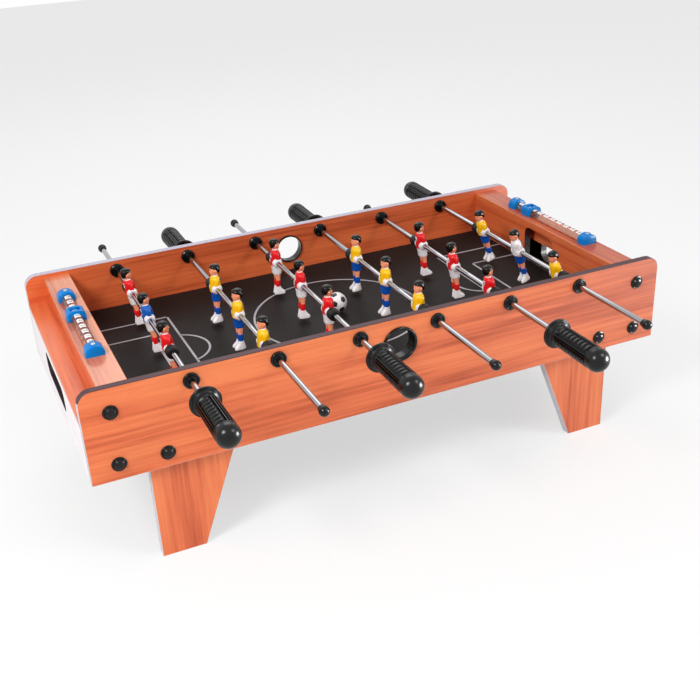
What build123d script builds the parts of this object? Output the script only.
"""Tabletop foosball table: a laminated board cabinet on four legs, six player rods,
eighteen players, two score counters and two balls.

Frame: +X along the table, +Y across it towards the far side, +Z up. The origin is the
bottom centre of the whole object's box, on the surface that the legs stand on.
Lengths are in millimetres and angles in degrees.
"""
import os

from build123d import *

# ---- cabinet -------------------------------------------------------------------
LENGTH = 690.0  # over the side panels
WIDTH = 340.0  # over the outer faces of the side panels
LEG_DROP = 115.0  # the side panels' lower edge above the surface
PANEL_H = 105.0
BOARD = 9.0  # thickness of the side panels and the end walls
THIN_BOARD = 6.0  # thickness of the ledges and shelves
PITCH_T = 3.0
GROOVE = 4.0  # depth of the housings cut in the side panels
GROOVE_PLAY = 0.1
CORNER_R = 15.0  # rounded top corners of the side panels
ARRIS = 0.6  # small chamfer on the boards' edges
TABLE_Y = 42.0  # centre line of the cabinet: the rods slid to the near side stand out further

PANEL_TOP = LEG_DROP + PANEL_H
NEAR_Y = TABLE_Y - WIDTH / 2
FAR_Y = TABLE_Y + WIDTH / 2
INNER_HALF = WIDTH / 2 - BOARD
END_X = LENGTH / 2

PITCH_TOP = LEG_DROP + 43.5
SHELF_TOP = LEG_DROP + 99.5
SHELF_BOTTOM = SHELF_TOP - THIN_BOARD
LEDGE_TOP = LEG_DROP + 70.0
LEDGE_BOTTOM = LEDGE_TOP - THIN_BOARD

GOAL_WALL_X = END_X - 54.5  # the goal wall's face towards the pitch
SHELF_OUTER_X = END_X - 23.0
RISER_X = END_X - 30.0  # the middle of the step riser
GOAL_W = 64.0
GOAL_LINTEL = 3.0  # strip of the goal wall left above the mouth
GOAL_H = SHELF_BOTTOM - GOAL_LINTEL - PITCH_TOP
GOAL_R = 10.0
FLOOR_MID_Z = LEG_DROP + 18.5
FLOOR_TOP = FLOOR_MID_Z + BOARD / 2
RETURN_W = 116.0  # ball-return slot in the end board
RETURN_BOTTOM = FLOOR_TOP + 2.0
RETURN_H = 29.0
RETURN_R = 12.0

# ---- legs ----------------------------------------------------------------------
LEG_T = 12.0
LEG_OUTER_X = END_X - 60.0
LEG_FOOT_W = 49.0
LEG_TOP_W = 93.0
LEG_TOP_Z = PITCH_TOP - PITCH_T

# ---- fasteners -----------------------------------------------------------------
SCREW_D = 4.0
SCREW_LEN = 36.0
PILOT_END = 1.0  # the screw holes run on past the screws' points
BOLT_D = 6.0
BOLT_PROUD = 7.0  # thread left past the leg
BOLT_LEN = BOARD + LEG_T + BOLT_PROUD
HOLE_PLAY = 0.05  # radial
HEAD_D = 11.0
HEAD_T = 2.4
CAP_D = 16.0
CAP_H = 5.0
CAP_EDGE = 1.0
NUT_AF = 10.0
NUT_T = 5.0
UPPER_SCREW_Z = LEG_DROP + 78.0
LEG_BOLT_X = END_X - 80.0
LEG_BOLT_Z = LEG_DROP + 17.0

# ---- rods ----------------------------------------------------------------------
ROD_COUNT = 6
ROD_PITCH = 92.75
ROD_Z = LEG_DROP + 91.5
ROD_D = 6.4
RUN_PLAY = 0.08  # radial, rod in bushing
BUSH_D = 11.0
BUSH_FLANGE_D = 17.5
BUSH_FLANGE_T = 3.0
BUSH_FLANGE_R = 1.2
COLLAR_T = 3.5
COLLAR_EDGE = 0.8
MAN_PITCH = 84.0
HANDLE_GAP = 47.5  # from the panel to the handle's flange with the men centred
HANDLE_LEN = 82.0
TIP_REACH = 84.0  # how far the plain end stands out with the men centred
SLID = -42.0  # how far the slid rods are from the centred place, along Y
# For each rod: side of the handle (-1 near, +1 far), place along Y, tilt of its men.
RODS = [(-1, 0.0, 7.0), (1, SLID, -2.0), (-1, 0.0, 0.0),
        (1, SLID, -2.0), (-1, SLID, 7.0), (1, SLID, 16.0)]

# ---- handles, caps and bumpers -------------------------------------------------
FLANGE_D = 33.0
FLANGE_T = 4.0
FLANGE_ROUND = 1.5  # radial depth of the flange's rounded rim
GRIP_NECK = 2.0  # length of the cone between the flange and the grip
GRIP_D = 22.0
GRIP_END_D = 25.0
DOME_H = 11.0
DOME_START = HANDLE_LEN - DOME_H
FLUTES = 10
FLUTE_R = 2.2
FLUTE_OUT = 0.8  # the flutes' centres lie this far outside the grip's end radius
FLUTE_MARGIN = 4.5  # plain length left at each end of the grip
SOCKET_DEPTH = 62.0
SOCKET_END = 1.0  # gap between the rod's end and the bottom of the handle's socket
TIP_D = 11.0
TIP_NECK_D = 8.6
TIP_LEN = 12.0
TIP_BORE = 9.0
TIP_END = 1.0  # gap between the rod's end and the bottom of the cap's bore
BUMPER_D = 14.0
BUMPER_LEN = 10.0
BUMPER_R = 1.5
BUMPER_GAP = 0.3
BORE_PLAY = 0.03  # radial, parts clamped on the rod

# ---- players, measured from the rod's axis -------------------------------------
HUB_LEN = 19.0
HUB_D = 13.0
SHOULDER_Z = 11.5
NECK_Z = 17.0
HEAD_Z = 24.0
HEAD_R = 6.3
NECK_D = 6.0
HEM_Z = -1.0
SHORTS_Z = -17.0
BOOT_TOP_Z = -34.0
SOLE_Z = -43.5
BOOT_W = 11.0
TOE_X = 8.0
HEEL_X = -5.5
SECTION_ROUND = 0.42  # corner radius of a body section as a share of its depth
# Sections of the body, each (height, front-to-back depth, breadth across the shoulders).
TORSO = [(HEM_Z, 9.0, 13.0), (SHOULDER_Z, 9.5, 18.0), (NECK_Z, 6.5, 11.0)]
SHORTS = [(SHORTS_Z, 8.5, 12.5), (HEM_Z, 9.0, 13.0)]
LEGS = [(BOOT_TOP_Z, 6.0, 9.0), (SHORTS_Z, 6.5, 10.0)]

# ---- ball entry ----------------------------------------------------------------
CUP_Z = LEG_DROP + 74.0
CUP_D = 37.0
CUP_BORE_D = 33.5
CUP_RIM_D = 41.0
CUP_RIM_T = 3.0
CUP_THROAT = 1.5  # the bore starts this far inside the panel's face
CUP_ROUND = 1.0
CUP_LIP_R = CUP_D / 2 - 0.6
CUP_LIP_Z = CUP_RIM_T - 0.6
CUP_PROUD = 2.5  # how far the tube stands out of the inner face

# ---- score counters ------------------------------------------------------------
COUNTER_X = END_X - 37.0
SCALE_LEN = 145.0  # between the brackets
SCALE_W = 13.0
SCALE_H = 7.5
SCALE_LIFT = 1.5  # the scale's underside above the shelf
SCALE_SIDE = 1.5  # height of the scale's upright sides
BRACKET_W = 20.0
BRACKET_L = 14.0
BRACKET_H = 12.5
BRACKET_R = 5.5
BRACKET_EDGE = 0.8
POCKET = 4.0  # how far the scale reaches into each bracket
SLIDER_W = 21.0
SLIDER_L = 17.0
SLIDER_H = 12.0
SLIDER_R = 3.5
SLIDER_PLAY = 0.3
WINDOW_L = 9.0  # along the scale
WINDOW_W = 12.0
PIN_D = 3.0
PIN_HEAD_D = 5.5
PIN_HEAD_T = 1.6
PIN_SHORT = 1.0  # the counter's screws end this far inside the shelf
BRACKET_STEP = (SCALE_LEN + BRACKET_L) / 2
SLIDER_PLACES = {"left": 20.0, "right": 45.0}  # along Y from the table's centre line

# ---- balls ---------------------------------------------------------------------
BALL_D = 25.0
BALL_LIFT = 0.3  # keeps the ball's solid just clear of what it lies on
BALL_Y = 2.0
SPARE_BALL_Y = -20.0

SIDES = {"left": -1, "right": 1}
ROWS = {"near": -1, "far": 1}
ROD_XS = [(i - (ROD_COUNT - 1) / 2) * ROD_PITCH for i in range(ROD_COUNT)]
SCREW_PLACES = [(s * RISER_X, z) for s in (-1, 1) for z in (FLOOR_MID_Z, UPPER_SCREW_Z)]
BOLT_PLACES = [(s * LEG_BOLT_X, LEG_BOLT_Z) for s in (-1, 1)]
PILOT_LEN = SCREW_LEN - BOARD + PILOT_END
WALL_MID_Z = (LEG_DROP + SHELF_BOTTOM) / 2
BOX_OUTER_X = END_X - BOARD
BOX_INNER_X = GOAL_WALL_X + BOARD
BOX_MID_X = (BOX_OUTER_X + BOX_INNER_X) / 2

os.makedirs("parts", exist_ok=True)


def across(y):
    """The XZ plane through y; its normal is -Y, so a negative extrusion goes to +Y."""
    return Plane.XZ.offset(-y)


def write_node(part, node):
    """Label a finished node and write its file."""
    part.label = node
    export_step(part, f"parts/{node}.step")


def screw_holes(z):
    """Where the frame screws enter the boards between the side panels, at height z."""
    return [Location((s * RISER_X, TABLE_Y + r * INNER_HALF, z), (90, 0, 0))
            for s in (-1, 1) for r in (-1, 1)]


def on_outer_face(row, places):
    """Locations on a side panel's outer face, facing out of the table."""
    y = NEAR_Y if row < 0 else FAR_Y
    turn = (90 if row < 0 else -90, 0, 0)
    return [Location((x, y, z), turn) for x, z in places]


# ---- cabinet boards ------------------------------------------------------------
for row_name, row in ROWS.items():
    y_low = NEAR_Y if row < 0 else FAR_Y - BOARD
    inner_y = TABLE_Y + row * INNER_HALF
    groove_y = inner_y + row * GROOVE / 2
    with BuildPart() as side_panel:
        with BuildSketch(across(y_low)):
            with Locations((0, LEG_DROP + PANEL_H / 2)):
                Rectangle(LENGTH, PANEL_H)
            fillet(vertices().group_by(Axis.Y)[-1], CORNER_R)
        extrude(amount=-BOARD)
        chamfer(faces().sort_by(Axis.Y)[0].outer_wire().edges(), ARRIS)
        chamfer(faces().sort_by(Axis.Y)[-1].outer_wire().edges(), ARRIS)
        with BuildSketch(across(y_low)):
            with Locations(*[(x, ROD_Z) for x in ROD_XS]):
                Circle(BUSH_D / 2)
            with Locations((0, CUP_Z)):
                Circle(CUP_D / 2)
            with Locations(*SCREW_PLACES):
                Circle(SCREW_D / 2 + HOLE_PLAY)
            with Locations(*BOLT_PLACES):
                Circle(BOLT_D / 2 + HOLE_PLAY)
        extrude(amount=-BOARD, mode=Mode.SUBTRACT)
        with Locations((0, groove_y, PITCH_TOP - PITCH_T / 2)):
            Box(2 * GOAL_WALL_X, GROOVE, PITCH_T + GROOVE_PLAY, mode=Mode.SUBTRACT)
        with Locations(*[(s * (GOAL_WALL_X + BOARD / 2), groove_y, WALL_MID_Z) for s in (-1, 1)]):
            Box(BOARD + GROOVE_PLAY, GROOVE, SHELF_BOTTOM - LEG_DROP, mode=Mode.SUBTRACT)
    write_node(side_panel.part, f"side_panel_{row_name}")

with BuildPart() as pitch_board:
    with Locations((0, TABLE_Y, PITCH_TOP - PITCH_T / 2)):
        Box(2 * GOAL_WALL_X, 2 * (INNER_HALF + GROOVE - GROOVE_PLAY), PITCH_T)
write_node(pitch_board.part, "pitch_board")

for end_name, end in SIDES.items():
    with BuildPart() as goal_wall:
        with BuildSketch(Plane.YZ.offset(end * GOAL_WALL_X)):
            with Locations((TABLE_Y, WALL_MID_Z)):
                Rectangle(2 * (INNER_HALF + GROOVE - GROOVE_PLAY), SHELF_BOTTOM - LEG_DROP)
        extrude(amount=end * BOARD)
        with BuildSketch(Plane.YZ.offset(end * GOAL_WALL_X)):
            with Locations((TABLE_Y, PITCH_TOP + GOAL_H / 2)):
                Rectangle(GOAL_W, GOAL_H)
            fillet(vertices().group_by(Axis.Y)[-1], GOAL_R)
        extrude(amount=end * BOARD, mode=Mode.SUBTRACT)
    write_node(goal_wall.part, f"goal_wall_{end_name}")

    with BuildPart() as end_board:
        with BuildSketch(Plane.YZ.offset(end * END_X)):
            with Locations((TABLE_Y, (LEG_DROP + LEDGE_BOTTOM) / 2)):
                Rectangle(2 * INNER_HALF, LEDGE_BOTTOM - LEG_DROP)
            with Locations((TABLE_Y, RETURN_BOTTOM + RETURN_H / 2)):
                RectangleRounded(RETURN_W, RETURN_H, RETURN_R, mode=Mode.SUBTRACT)
        extrude(amount=-end * BOARD)
    write_node(end_board.part, f"end_board_{end_name}")

    with BuildPart() as counter_shelf:
        shelf_mid_x = end * (SHELF_OUTER_X + GOAL_WALL_X) / 2
        with Locations((shelf_mid_x, TABLE_Y, (SHELF_TOP + SHELF_BOTTOM) / 2)):
            Box(SHELF_OUTER_X - GOAL_WALL_X, 2 * INNER_HALF, THIN_BOARD)
        chamfer(edges().filter_by(Axis.Y).group_by(Axis.Z)[-1], ARRIS)
        with Locations(*[(end * COUNTER_X, TABLE_Y + s * BRACKET_STEP, SHELF_TOP) for s in (-1, 1)]):
            Cylinder(PIN_D / 2 + HOLE_PLAY, 4 * THIN_BOARD, mode=Mode.SUBTRACT)
    write_node(counter_shelf.part, f"counter_shelf_{end_name}")

with BuildPart() as ball_box_floors:
    with Locations(*[(s * BOX_MID_X, TABLE_Y, FLOOR_MID_Z) for s in (-1, 1)]):
        Box(BOX_OUTER_X - BOX_INNER_X, 2 * INNER_HALF, BOARD)
    with Locations(*screw_holes(FLOOR_MID_Z)):
        Cylinder(SCREW_D / 2 + HOLE_PLAY, 2 * PILOT_LEN, mode=Mode.SUBTRACT)
write_node(ball_box_floors.part, "ball_box_floors")

ledge_inner_x = RISER_X - BOARD / 2
with BuildPart() as ball_box_ledges:
    ledge_mid_z = (LEDGE_TOP + LEDGE_BOTTOM) / 2
    with Locations(*[(s * (END_X + ledge_inner_x) / 2, TABLE_Y, ledge_mid_z) for s in (-1, 1)]):
        Box(END_X - ledge_inner_x, 2 * INNER_HALF, THIN_BOARD)
write_node(ball_box_ledges.part, "ball_box_ledges")

with BuildPart() as step_risers:
    riser_mid_z = (LEDGE_TOP + SHELF_BOTTOM) / 2
    with Locations(*[(s * RISER_X, TABLE_Y, riser_mid_z) for s in (-1, 1)]):
        Box(BOARD, 2 * INNER_HALF, SHELF_BOTTOM - LEDGE_TOP)
    with Locations(*screw_holes(UPPER_SCREW_Z)):
        Cylinder(SCREW_D / 2 + HOLE_PLAY, 2 * PILOT_LEN, mode=Mode.SUBTRACT)
write_node(step_risers.part, "step_risers")

# ---- legs ----------------------------------------------------------------------
for row_name, row in ROWS.items():
    for end_name, end in SIDES.items():
        outline = [(LEG_OUTER_X, 0), (LEG_OUTER_X - LEG_FOOT_W, 0),
                   (LEG_OUTER_X - LEG_TOP_W, LEG_DROP), (LEG_OUTER_X - LEG_TOP_W, LEG_TOP_Z),
                   (LEG_OUTER_X, LEG_TOP_Z)]
        inner_y = TABLE_Y + row * INNER_HALF
        with BuildPart() as leg:
            with BuildSketch(across(inner_y)):
                with BuildLine():
                    Polyline(*[(end * x, z) for x, z in outline], close=True)
                make_face()
                with Locations((end * LEG_BOLT_X, LEG_BOLT_Z)):
                    Circle(BOLT_D / 2 + HOLE_PLAY, mode=Mode.SUBTRACT)
            extrude(amount=row * LEG_T)
            chamfer(faces().sort_by(Axis.Y)[0].outer_wire().edges(), ARRIS)
            chamfer(faces().sort_by(Axis.Y)[-1].outer_wire().edges(), ARRIS)
        write_node(leg.part, f"leg_{row_name}_{end_name}")


# ---- fasteners -----------------------------------------------------------------
def headed_pin(shaft_d, length, head_d, head_t):
    """A round shaft under a flat head: the head stands on z = 0, the shaft goes down."""
    with BuildPart() as pin:
        Cylinder(head_d / 2, head_t, align=(Align.CENTER, Align.CENTER, Align.MIN))
        chamfer(edges().group_by(Axis.Z)[-1], head_t / 4)
        Cylinder(shaft_d / 2, length, align=(Align.CENTER, Align.CENTER, Align.MAX))
        chamfer(edges().group_by(Axis.Z)[0], shaft_d / 6)
    return pin.part


def dome(diameter, height):
    """A spherical dome standing on z = 0, of the given base diameter and height."""
    radius = ((diameter / 2) ** 2 + height ** 2) / (2 * height)
    with BuildPart() as cap:
        Cylinder(diameter / 2, height, align=(Align.CENTER, Align.CENTER, Align.MIN))
        with Locations((0, 0, height - radius)):
            Sphere(radius, mode=Mode.INTERSECT)
    return cap.part


def copies(shape, places):
    """Separate copies of one shape at the given locations, joined in one node."""
    with BuildPart() as group:
        with Locations(*places):
            add(shape)
    return group.part


SCREW_SEATS = on_outer_face(-1, SCREW_PLACES) + on_outer_face(1, SCREW_PLACES)
BOLT_SEATS = on_outer_face(-1, BOLT_PLACES) + on_outer_face(1, BOLT_PLACES)

write_node(copies(headed_pin(SCREW_D, SCREW_LEN, HEAD_D, HEAD_T), SCREW_SEATS), "frame_screws")
write_node(copies(headed_pin(BOLT_D, BOLT_LEN, HEAD_D, HEAD_T), BOLT_SEATS), "leg_bolts")

with BuildPart() as nut:
    with BuildSketch(Plane.XY.offset(-BOARD - LEG_T - NUT_T)):
        RegularPolygon(NUT_AF / 2, 6, major_radius=False)
        Circle(BOLT_D / 2 + HOLE_PLAY, mode=Mode.SUBTRACT)
    extrude(amount=NUT_T)
write_node(copies(nut.part, BOLT_SEATS), "leg_nuts")

with BuildPart() as screw_cap:
    Cylinder(CAP_D / 2, CAP_EDGE, align=(Align.CENTER, Align.CENTER, Align.MIN))
    with Locations((0, 0, CAP_EDGE)):
        add(dome(CAP_D, CAP_H - CAP_EDGE))
    Cylinder(HEAD_D / 2, 2 * HEAD_T, mode=Mode.SUBTRACT)
write_node(copies(screw_cap.part, SCREW_SEATS + BOLT_SEATS), "screw_caps")

# ---- ball entry cups -----------------------------------------------------------
with BuildPart() as cup:
    with BuildSketch(Plane.XZ):
        with BuildLine():
            Line((CUP_BORE_D / 2, -BOARD - CUP_PROUD), (CUP_D / 2, -BOARD - CUP_PROUD))
            Line((CUP_D / 2, -BOARD - CUP_PROUD), (CUP_D / 2, 0))
            Line((CUP_D / 2, 0), (CUP_RIM_D / 2, 0))
            ThreePointArc((CUP_RIM_D / 2, 0), (CUP_D / 2 + CUP_ROUND, CUP_RIM_T),
                          (CUP_LIP_R, CUP_LIP_Z))
            Line((CUP_LIP_R, CUP_LIP_Z), (CUP_BORE_D / 2, -CUP_THROAT))
            Line((CUP_BORE_D / 2, -CUP_THROAT), (CUP_BORE_D / 2, -BOARD - CUP_PROUD))
        make_face()
    revolve(axis=Axis.Z)
CUP_SEATS = on_outer_face(-1, [(0, CUP_Z)]) + on_outer_face(1, [(0, CUP_Z)])
write_node(copies(cup.part, CUP_SEATS), "ball_entry_cups")

# ---- bushings ------------------------------------------------------------------
BUSH_PLACES = [(x, ROD_Z) for x in ROD_XS]
BUSH_SEATS = on_outer_face(-1, BUSH_PLACES) + on_outer_face(1, BUSH_PLACES)
with BuildPart() as bushing:
    Cylinder(BUSH_FLANGE_D / 2, BUSH_FLANGE_T, align=(Align.CENTER, Align.CENTER, Align.MIN))
    fillet(edges().group_by(Axis.Z)[-1], BUSH_FLANGE_R)
    Cylinder(BUSH_D / 2, BOARD + COLLAR_T, align=(Align.CENTER, Align.CENTER, Align.MAX))
    Cylinder(ROD_D / 2 + RUN_PLAY, 4 * BOARD, mode=Mode.SUBTRACT)
write_node(copies(bushing.part, BUSH_SEATS), "rod_bushings")

with BuildPart() as collar:
    with BuildSketch(Plane.XY.offset(-BOARD)):
        Circle(BUSH_FLANGE_D / 2)
        Circle(BUSH_D / 2, mode=Mode.SUBTRACT)
    extrude(amount=-COLLAR_T)
    chamfer(edges().group_by(Axis.Z)[0].sort_by(SortBy.LENGTH)[-1], COLLAR_EDGE)
write_node(copies(collar.part, BUSH_SEATS), "bushing_collars")

# ---- parts that the rods share, along +Z with the rod's axis on Z --------------
flange_flat_r = FLANGE_D / 2 - FLANGE_ROUND
with BuildPart() as handle:
    with BuildSketch(Plane.XZ):
        with BuildLine():
            Line((0, 0), (flange_flat_r, 0))
            ThreePointArc((flange_flat_r, 0), (FLANGE_D / 2, FLANGE_T / 2), (flange_flat_r, FLANGE_T))
            Line((flange_flat_r, FLANGE_T), (GRIP_D / 2, FLANGE_T + GRIP_NECK))
            Line((GRIP_D / 2, FLANGE_T + GRIP_NECK), (GRIP_END_D / 2, DOME_START))
            Line((GRIP_END_D / 2, DOME_START), (0, DOME_START))
            Line((0, DOME_START), (0, 0))
        make_face()
    revolve(axis=Axis.Z)
    with Locations((0, 0, DOME_START)):
        add(dome(GRIP_END_D, DOME_H))
    with PolarLocations(GRIP_END_D / 2 + FLUTE_OUT, FLUTES):
        with Locations((0, 0, FLANGE_T + FLUTE_MARGIN)):
            Cylinder(FLUTE_R, DOME_START - FLANGE_T - 2 * FLUTE_MARGIN,
                     align=(Align.CENTER, Align.CENTER, Align.MIN), mode=Mode.SUBTRACT)
    Cylinder(ROD_D / 2 + BORE_PLAY, 2 * SOCKET_DEPTH, mode=Mode.SUBTRACT)

with BuildPart() as end_cap:
    Cylinder(TIP_NECK_D / 2, TIP_LEN - TIP_D / 2, align=(Align.CENTER, Align.CENTER, Align.MIN))
    with Locations((0, 0, TIP_LEN - TIP_D / 2)):
        Sphere(TIP_D / 2)
    Cylinder(ROD_D / 2 + BORE_PLAY, 2 * TIP_BORE, mode=Mode.SUBTRACT)

with BuildPart() as bumper:
    Cylinder(BUMPER_D / 2, BUMPER_LEN)
    fillet(edges(), BUMPER_R)
    Cylinder(ROD_D / 2 + RUN_PLAY, 2 * BUMPER_LEN, mode=Mode.SUBTRACT)

# ---- one player, upright on the rod's axis and facing +X -----------------------
with BuildPart() as player:
    for sections in (TORSO, SHORTS, LEGS):
        for z, depth, breadth in sections:
            with BuildSketch(Plane.XY.offset(z)):
                RectangleRounded(depth, breadth, depth * SECTION_ROUND)
        loft()
    with BuildSketch(Plane.XZ.offset(-BOOT_W / 2)):
        with BuildLine():
            Polyline((HEEL_X + 0.5, BOOT_TOP_Z + 2), (HEEL_X, SOLE_Z + 1), (HEEL_X + 1, SOLE_Z),
                     (TOE_X - 2, SOLE_Z), (TOE_X, SOLE_Z + 2.5), (TOE_X - 1, SOLE_Z + 5),
                     (-HEEL_X - 2, BOOT_TOP_Z + 2), close=True)
        make_face()
    extrude(amount=BOOT_W)
    with Locations((0, 0, NECK_Z)):
        Cylinder(NECK_D / 2, 2 * (HEAD_Z - NECK_Z))
    with Locations((0, 0, HEAD_Z)):
        Sphere(HEAD_R)
    with Locations(Location((0, 0, 0), (90, 0, 0))):
        Cylinder(HUB_D / 2, HUB_LEN)
        Cylinder(ROD_D / 2 + BORE_PLAY, 2 * HUB_LEN, mode=Mode.SUBTRACT)

# ---- the six rods --------------------------------------------------------------
for number, (handle_side, slid, tilt) in enumerate(RODS, start=1):
    x = ROD_XS[number - 1]
    mid_y = TABLE_Y + slid
    out = (90 if handle_side < 0 else -90, 0, 0)  # turns +Z to the handle's side
    back = (-90 if handle_side < 0 else 90, 0, 0)
    flange_y = mid_y + handle_side * (WIDTH / 2 + HANDLE_GAP)
    tip_y = mid_y - handle_side * (WIDTH / 2 + TIP_REACH - TIP_LEN)
    rod_start = flange_y + handle_side * (SOCKET_DEPTH - SOCKET_END)
    rod_end = tip_y - handle_side * (TIP_BORE - TIP_END)
    with BuildPart() as rod:
        with Locations(Location((x, (rod_start + rod_end) / 2, ROD_Z), (90, 0, 0))):
            Cylinder(ROD_D / 2, abs(rod_start - rod_end))
        chamfer(edges().filter_by(GeomType.CIRCLE), ARRIS)
    write_node(rod.part, f"rod_{number}")
    write_node(copies(handle.part, [Location((x, flange_y, ROD_Z), out)]), f"handle_{number}")
    write_node(copies(end_cap.part, [Location((x, tip_y, ROD_Z), back)]), f"end_cap_{number}")

    facing = 0 if number % 2 else 180
    lean = -tilt if number % 2 else tilt
    stance = Rotation(0, 0, facing) * Rotation(0, lean, 0)
    man_seats = [Location((x, mid_y + step * MAN_PITCH, ROD_Z)) * stance for step in (-1, 0, 1)]
    write_node(copies(player.part, man_seats), f"men_{number}")
    bumper_step = MAN_PITCH + (HUB_LEN + BUMPER_LEN) / 2 + BUMPER_GAP
    bumper_seats = [Location((x, mid_y + s * bumper_step, ROD_Z), (90, 0, 0)) for s in (-1, 1)]
    write_node(copies(bumper.part, bumper_seats), f"bumpers_{number}")


# ---- score counters ------------------------------------------------------------
def scale_profile(grow=0.0):
    """The D-shaped section of the number scale, standing on its flat side."""
    with BuildSketch(Plane.XZ) as section:
        with BuildLine():
            half = SCALE_W / 2 + grow
            Line((-half, -grow), (half, -grow))
            Line((half, -grow), (half, SCALE_SIDE))
            ThreePointArc((half, SCALE_SIDE), (0, SCALE_H + grow), (-half, SCALE_SIDE))
            Line((-half, SCALE_SIDE), (-half, -grow))
        make_face()
    return section.sketch


def bar(section, length):
    """A section in the XZ plane drawn out to a length, centred on y = 0."""
    with BuildPart() as drawn:
        extrude(section, amount=length / 2, both=True)
    return drawn.part


SCALE_Z = SHELF_TOP + SCALE_LIFT
scale_seats = [Location((s * COUNTER_X, TABLE_Y, SCALE_Z)) for s in (-1, 1)]
number_scale = bar(scale_profile(), SCALE_LEN + 2 * POCKET - GROOVE_PLAY)
write_node(copies(number_scale, scale_seats), "counter_scales")

with BuildPart() as bracket:
    with BuildSketch(Plane.XZ.offset(-BRACKET_L / 2)):
        with Locations((0, BRACKET_H / 2)):
            Rectangle(BRACKET_W, BRACKET_H)
        fillet(vertices().group_by(Axis.Y)[-1], BRACKET_R)
    extrude(amount=BRACKET_L)
    chamfer(faces().sort_by(Axis.Y)[0].edges(), BRACKET_EDGE)
    pocket = bar(scale_profile(HOLE_PLAY), 2 * POCKET)
    with Locations((0, BRACKET_L / 2, SCALE_LIFT)):
        add(pocket, mode=Mode.SUBTRACT)
    Cylinder(PIN_D / 2 + HOLE_PLAY, 4 * BRACKET_H, mode=Mode.SUBTRACT)
    with Locations((0, 0, BRACKET_H)):
        Cylinder(PIN_HEAD_D / 2 + HOLE_PLAY, 2 * PIN_HEAD_T, mode=Mode.SUBTRACT)
bracket_seats = [Location((s * COUNTER_X, TABLE_Y + r * BRACKET_STEP, SHELF_TOP),
                          (0, 0, 0 if r < 0 else 180)) for s in (-1, 1) for r in (-1, 1)]
write_node(copies(bracket.part, bracket_seats), "counter_brackets")
pin_len = BRACKET_H - PIN_HEAD_T + THIN_BOARD - PIN_SHORT
counter_pin = headed_pin(PIN_D, pin_len, PIN_HEAD_D, PIN_HEAD_T)
pin_seats = [seat * Location((0, 0, BRACKET_H - PIN_HEAD_T)) for seat in bracket_seats]
write_node(copies(counter_pin, pin_seats), "counter_screws")

with BuildPart() as slider:
    with BuildSketch(Plane.XZ.offset(-SLIDER_L / 2)):
        with Locations((0, SLIDER_H / 2)):
            Rectangle(SLIDER_W, SLIDER_H)
        fillet(vertices().group_by(Axis.Y)[-1], SLIDER_R)
    extrude(amount=SLIDER_L)
    tunnel = bar(scale_profile(SLIDER_PLAY), 2 * SLIDER_L)
    with Locations((0, 0, SCALE_LIFT - SLIDER_PLAY)):
        add(tunnel, mode=Mode.SUBTRACT)
    with Locations((0, 0, SLIDER_H)):
        Box(WINDOW_W, WINDOW_L, SLIDER_H, mode=Mode.SUBTRACT)
for end_name, end in SIDES.items():
    slider_y = TABLE_Y + SLIDER_PLACES[end_name]
    seat = Location((end * COUNTER_X, slider_y, SHELF_TOP + SLIDER_PLAY))
    write_node(copies(slider.part, [seat]), f"counter_slider_{end_name}")

# ---- balls ---------------------------------------------------------------------
ball_places = {
    "ball": (0, TABLE_Y + BALL_Y, PITCH_TOP),
    "spare_ball": (-BOX_MID_X, TABLE_Y + SPARE_BALL_Y, FLOOR_TOP),
}
for node, (x, y, z) in ball_places.items():
    with BuildPart() as loose_ball:
        with Locations((x, y, z + BALL_D / 2 + BALL_LIFT)):
            Sphere(BALL_D / 2)
    write_node(loose_ball.part, node)
